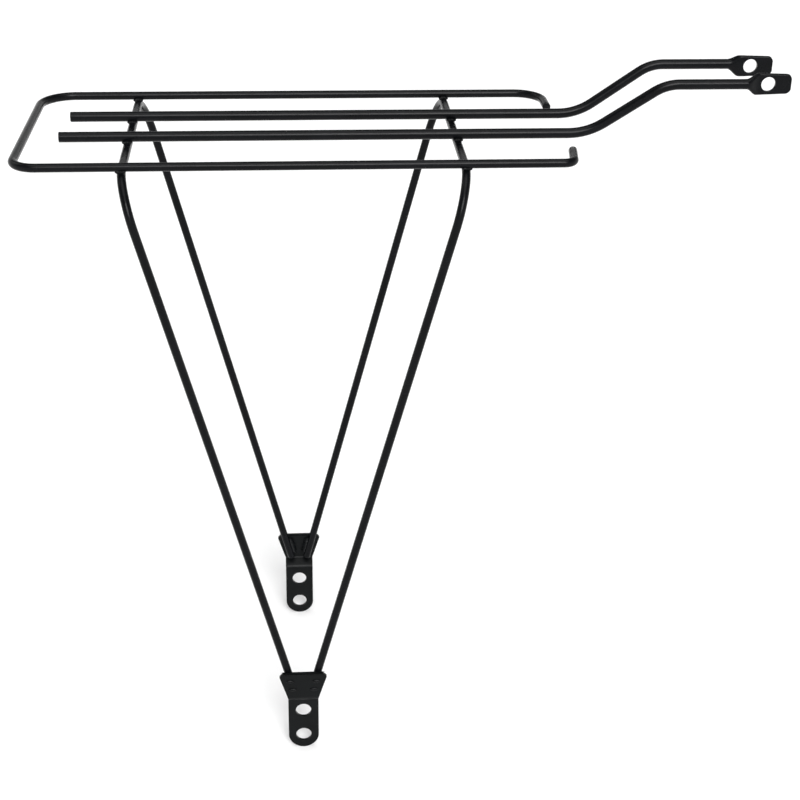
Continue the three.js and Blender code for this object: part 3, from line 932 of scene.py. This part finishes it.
class RACK_OT_cross_welds(bpy.types.Operator):
    """Build the beads where the rails and the rim cross the hoops"""

    bl_idname = "rack.cross_welds"
    bl_label = "Crossing Welds"

    def execute(self, context):
        w = context.scene.rack_welds
        for end in ENDS:
            for side in SIDES:
                for over in ("rail", "rim"):
                    node = f"weld_{end}_hoop_{over}_{side}"
                    low, high = corners(node)
                    centre, halves = (low + high) / 2, (high - low) / 2
                    rings = bead_rings(centre, [X, Y, Z], halves * w.web_reach, 17, w.ripple, w.web)
                    made = skin(piece_name(node), rings)
                    settle(made, node, "weld_enamel")
        return {"FINISHED"}


class RACK_OT_foot_welds(bpy.types.Operator):
    """Build the rippled beads beside the feet, on the plates' inner faces"""

    bl_idname = "rack.foot_welds"
    bl_label = "Foot Welds"

    def execute(self, context):
        w = context.scene.rack_welds
        rods = context.scene.rack_rods
        top = float(HOOP_HIGH[2]) - rods.hoop_radius
        plate_inner = -float(PLATE_LOW[1]) - context.scene.rack_plates.thickness
        for end_name, end in ENDS.items():
            for side_name, side in SIDES.items():
                node = f"weld_{end_name}_foot_{side_name}"
                low, high = corners(node)
                short = w.foot_radius * FOOT_END
                z = np.array([low[2] + short, high[2] - short])
                x = leg_x(end, z, top) - end * rods.hoop_radius
                y = np.full(2, side * (plate_inner - FOOT_SUNK))
                start, finish = np.column_stack([x, y, z])
                way = unit(finish - start)
                span = np.linalg.norm(finish - start)
                t = (1 - np.cos(np.linspace(0.06, np.pi - 0.06, 90))) / 2
                centres = start + np.outer(t * span, way)
                ends = np.minimum(1, np.minimum(t, 1 - t) * span / w.foot_radius)
                radii = w.foot_radius * np.sqrt(1 - (1 - ends) ** 2)
                radii = radii * (1 + w.ripple * np.cos(2 * np.pi * t * span / w.pitch))
                across = np.tile(unit(np.cross(way, Y)), (len(t), 1))
                upward = np.tile(Y, (len(t), 1))
                rings = sections(centres, across, upward, radii, radii * FOOT_FLAT, 0 * t, 32)
                made = skin(piece_name(node), rings)
                settle(made, node, "weld_enamel")
        return {"FINISHED"}


class RACK_OT_plug_welds(bpy.types.Operator):
    """Build the low crowns of the plug welds on the plates' outer faces"""

    bl_idname = "rack.plug_welds"
    bl_label = "Plug Welds"

    def execute(self, context):
        w = context.scene.rack_welds
        outer = -float(PLATE_LOW[1])
        for end in ENDS:
            for side_name, side in SIDES.items():
                for level in ("upper", "lower"):
                    node = f"plug_weld_{end}_{side_name}_{level}"
                    low, high = corners(node)
                    centre, halves = (low + high) / 2, (high - low) / 2
                    proud = max(abs(low[1]), abs(high[1])) - outer
                    centre[1] = side * outer
                    halves[1] = proud
                    sizes = [halves[0], halves[2], halves[1]]
                    rings = bead_rings(centre, [X, Z, Y], sizes, 9, w.ripple, stations=22)
                    made = skin(piece_name(node), rings)
                    settle(made, node, "weld_enamel")
        return {"FINISHED"}


# ---------------------------------------------------------------- stage


def direction(azimuth, elevation):
    """Unit vector from the object towards a camera or light at that azimuth and elevation."""
    return Vector(
        (
            np.sin(azimuth) * np.cos(elevation),
            -np.cos(azimuth) * np.cos(elevation),
            np.sin(elevation),
        )
    )


def soft_sun(name, azimuth, elevation, spread, strength):
    """An even, far softbox, placed and sized by angles in degrees."""
    towards = direction(np.radians(azimuth), np.radians(elevation))
    lamp = bpy.data.lights.new(name, "SUN")
    lamp.angle = np.radians(spread)
    lamp.energy = strength
    made = bpy.data.objects.new(name, lamp)
    made.rotation_mode = "QUATERNION"
    made.rotation_quaternion = (-towards).to_track_quat("-Z", "Y")
    bpy.context.scene.collection.objects.link(made)


def pale_floor():
    """A broad sheet of pale paper with a faint mottle, just under the lowest point."""
    low, _ = CAD_BOX
    points = FLOOR_HALF * np.array([(-1, -1, 0), (1, -1, 0), (1, 1, 0), (-1, 1, 0)])
    points[:, 2] = low[2]
    mesh = bpy.data.meshes.new("floor")
    mesh.from_pydata(points.tolist(), [], [(0, 1, 2, 3)])
    floor = bpy.data.objects.new("floor", mesh)
    bpy.context.scene.collection.objects.link(floor)
    n = Nodes("pale_paper")
    place = n.add("ShaderNodeTexCoord").outputs["Object"]
    mottle = n.noise(place, 3.0, 3.0)
    n.feed(n.surface, "Base Color", n.mix(mottle, (0.90, 0.90, 0.90, 1.0), (0.93, 0.93, 0.93, 1.0)))
    n.surface.inputs["Roughness"].default_value = 0.9
    n.surface.inputs["IOR"].default_value = 1.15
    mesh.materials.append(n.material)


def camera():
    """The camera, from its aim, distance, azimuth, elevation and roll."""
    studio = bpy.context.scene.rack_studio
    towards = direction(studio.azimuth, studio.elevation)
    data = bpy.data.cameras.new("camera")
    data.lens = studio.lens
    made = bpy.data.objects.new("camera", data)
    level = (-towards).to_track_quat("-Z", "Y").to_matrix().to_4x4()
    tilt = Matrix.Rotation(studio.roll, 4, "Z")
    spot = Matrix.Translation(Vector(studio.aim) + towards * studio.distance)
    made.matrix_world = spot @ level @ tilt
    bpy.context.scene.collection.objects.link(made)
    bpy.context.scene.camera = made


def pale_horizon(tree):
    """Studio walls that are pale where they meet the floor and dim overhead."""
    background = tree.nodes["Background"]
    place = tree.nodes.new("ShaderNodeTexCoord")
    parts = tree.nodes.new("ShaderNodeSeparateXYZ")
    fade = tree.nodes.new("ShaderNodeMapRange")
    fade.interpolation_type = "SMOOTHSTEP"
    for socket, value in (("From Min", 0.18), ("From Max", 0.55), ("To Min", 1.0), ("To Max", 0.10)):
        fade.inputs[socket].default_value = value
    tree.links.new(place.outputs["Generated"], parts.inputs["Vector"])
    tree.links.new(parts.outputs["Z"], fade.inputs["Value"])
    tree.links.new(fade.outputs["Result"], background.inputs["Strength"])
    background.inputs["Color"].default_value = (1.0, 1.0, 1.0, 1.0)


class RACK_OT_stage(bpy.types.Operator):
    """Set up the pale floor, the soft studio lights and the camera"""

    bl_idname = "rack.stage"
    bl_label = "Studio"

    def execute(self, context):
        pale_floor()
        camera()
        for softbox in SOFTBOXES:
            soft_sun(*softbox)
        world = bpy.data.worlds.new("studio")
        world.use_nodes = True
        pale_horizon(world.node_tree)
        context.scene.world = world
        context.scene.view_settings.view_transform = "Standard"
        return {"FINISHED"}


# ---------------------------------------------------------------- panel and run

OPERATORS = (
    RACK_OT_rim,
    RACK_OT_hoops,
    RACK_OT_rails,
    RACK_OT_dropout_plates,
    RACK_OT_cross_welds,
    RACK_OT_foot_welds,
    RACK_OT_plug_welds,
    RACK_OT_stage,
)


class RACK_PT_sidebar(bpy.types.Panel):
    """Lists the pieces and their sizes"""

    bl_idname = "RACK_PT_sidebar"
    bl_label = "Rear Rack"
    bl_space_type = "VIEW_3D"
    bl_region_type = "UI"
    bl_category = "Rear Rack"

    def draw(self, context):
        for operator in OPERATORS:
            self.layout.operator(operator.bl_idname)
        for group_name, group in GROUPS.items():
            box = self.layout.box()
            box.label(text=group.__doc__.rstrip("."))
            for size in group.__annotations__:
                box.prop(getattr(context.scene, group_name), size)


CLASSES = (*GROUPS.values(), *OPERATORS, RACK_PT_sidebar)


def register():
    for cls in CLASSES:
        bpy.utils.register_class(cls)
    for name, group in GROUPS.items():
        setattr(bpy.types.Scene, name, PointerProperty(type=group))


def unregister():
    for name in GROUPS:
        delattr(bpy.types.Scene, name)
    for cls in reversed(CLASSES):
        bpy.utils.unregister_class(cls)


def main():
    """Builds every piece and the stage."""
    register()
    bpy.ops.rack.rim()
    bpy.ops.rack.hoops()
    bpy.ops.rack.rails()
    bpy.ops.rack.dropout_plates()
    bpy.ops.rack.cross_welds()
    bpy.ops.rack.foot_welds()
    bpy.ops.rack.plug_welds()
    bpy.ops.rack.stage()


if __name__ == "__main__":
    main()
